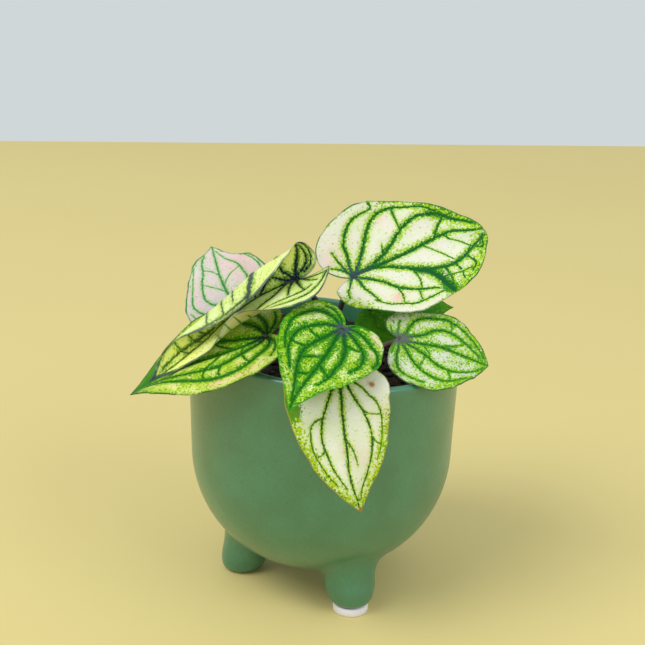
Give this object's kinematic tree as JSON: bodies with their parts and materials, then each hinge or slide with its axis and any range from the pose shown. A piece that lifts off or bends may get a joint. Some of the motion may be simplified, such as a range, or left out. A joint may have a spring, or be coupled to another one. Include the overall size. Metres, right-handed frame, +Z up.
{
  "type": "potted caladium",
  "caption": "Potted caladium: variegated heart-shaped leaves with dark veins, rolled and waved margins, in a sage ceramic planter on stubby feet.",
  "frame": {"origin": "on the surface that the plant stands on, below the middle of the whole plant's footprint", "axes": "+Z up, -Y towards the side that the picture shows, +X to the right as seen from that side"},
  "size_m": [0.164, 0.1598, 0.1906],
  "materials": {
    "pot_ceramic": "satin",
    "foot_pad": "matte",
    "potting_soil": "matte",
    "leaf_cream": "satin",
    "leaf_pink": "satin",
    "leaf_lime": "satin",
    "leaf_yellow_green": "satin",
    "leaf_mottled_green": "satin",
    "leaf_cream_green_edge": "satin",
    "leaf_pale_speckled": "satin",
    "leaf_dark_green": "satin"
  },
  "bodies": {
    "root": {"pot": "pot_ceramic", "foot_pad": "foot_pad", "soil": "potting_soil", "leaf_top_right": "leaf_cream", "leaf_back_left": "leaf_pink", "leaf_folded": "leaf_lime", "leaf_lower_left": "leaf_yellow_green", "leaf_centre": "leaf_mottled_green", "leaf_front": "leaf_cream_green_edge", "leaf_right": "leaf_pale_speckled", "leaf_green_back": "leaf_dark_green"}
  },
  "joints": []
}
